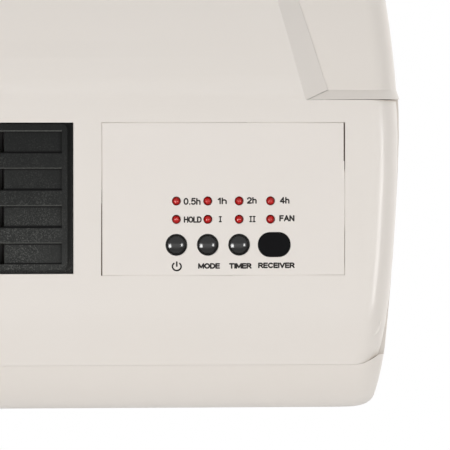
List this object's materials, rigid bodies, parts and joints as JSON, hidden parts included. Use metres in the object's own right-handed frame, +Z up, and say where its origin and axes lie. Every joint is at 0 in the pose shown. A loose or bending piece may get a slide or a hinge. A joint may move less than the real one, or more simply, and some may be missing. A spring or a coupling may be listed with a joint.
{
  "type": "fan heater",
  "caption": "Wall-mounted ceramic fan heater: rounded white housing with raised hood, black slotted outlet, control panel with lights and push buttons, cross-flow blower inside.",
  "frame": {"origin": "on the wall plane, in the middle of the wall bracket's screw pattern", "axes": "+X to the right as seen from the room, +Y into the wall, +Z up"},
  "size_m": [0.45, 0.1181, 0.19],
  "materials": {
    "white_cover": "satin gloss warm white ABS",
    "white_housing": "satin gloss warm white ABS",
    "panel_white": "satin warm white ABS insert",
    "black_grille": "fine spark-eroded black plastic",
    "window_black": "polished infrared-clear black",
    "led_red": "red tinted clear resin",
    "button_black": "glossy domed black",
    "switch_black": "matt black",
    "circuit_board": "green solder mask",
    "zinc_steel": "zinc plated",
    "relay_blue": "blue relay case",
    "capacitor_yellow": "yellow film capacitor",
    "cable_grey": "grey ribbon cable",
    "terminal_white": "natural nylon",
    "black_rubber": "black rubber",
    "wheel_grey": "glass-filled dark grey plastic",
    "shaft_steel": "ground steel",
    "stack_steel": "stacked laminations",
    "coil_copper": "taped copper winding",
    "frame_aluminium": "die-cast",
    "bearing_bronze": "sintered bronze",
    "duct_plastic": "natural flame-retardant plastic",
    "frame_black": "heat-resistant black plastic",
    "fin_aluminium": "folded aluminium strip",
    "terminal_brass": "brass spade",
    "bracket_steel": "zinc plated pressed steel"
  },
  "bodies": {
    "heater": {"front_cover": "white_cover", "rear_housing": "white_housing", "intake_grille": "white_housing", "outlet_grille": "black_grille", "control_panel": "panel_white", "receiver_window": "window_black", "status_leds": "led_red", "tact_switches": "switch_black", "control_board": "circuit_board", "ir_receiver": "switch_black", "board_screws": "zinc_steel", "power_board": "circuit_board", "relays": "relay_blue", "capacitors": "capacitor_yellow", "ribbon_cable": "cable_grey", "terminal_block": "terminal_white", "cord_grommet": "black_rubber", "motor_stator": "stack_steel", "motor_coil": "coil_copper", "motor_frames": "frame_aluminium", "motor_grommets": "black_rubber", "motor_screws": "zinc_steel", "wheel_bearing": "bearing_bronze", "bearing_holder": "black_rubber", "air_duct": "duct_plastic", "duct_screws": "zinc_steel", "heater_frame": "frame_black", "heater_tubes": "fin_aluminium", "heater_fins": "fin_aluminium", "heater_terminals": "terminal_brass", "thermal_cutout": "shaft_steel", "thermal_fuse": "terminal_brass", "wall_bracket": "bracket_steel", "housing_screws": "zinc_steel"},
    "blower": {"blower_wheel": "wheel_grey", "motor_shaft": "shaft_steel", "motor_rotor": "shaft_steel"},
    "power_key": {"power_button": "button_black", "power_plunger": "switch_black"},
    "mode_key": {"mode_button": "button_black", "mode_plunger": "switch_black"},
    "timer_key": {"timer_button": "button_black", "timer_plunger": "switch_black"}
  },
  "joints": [
    {"name": "blower_spin", "type": "hinge", "parent": "heater", "child": "blower", "pos_m": [-0.04387, -0.056, -0.019], "axis": [1, 0, 0], "continuous": true},
    {"name": "power_press", "type": "slide", "parent": "heater", "child": "power_key", "axis": [0, 1, 0], "range_m": [0, 0.0008], "stiffness_N_per_m": 400},
    {"name": "mode_press", "type": "slide", "parent": "heater", "child": "mode_key", "axis": [0, 1, 0], "range_m": [0, 0.0008], "stiffness_N_per_m": 400},
    {"name": "timer_press", "type": "slide", "parent": "heater", "child": "timer_key", "axis": [0, 1, 0], "range_m": [0, 0.0008], "stiffness_N_per_m": 400}
  ]
}
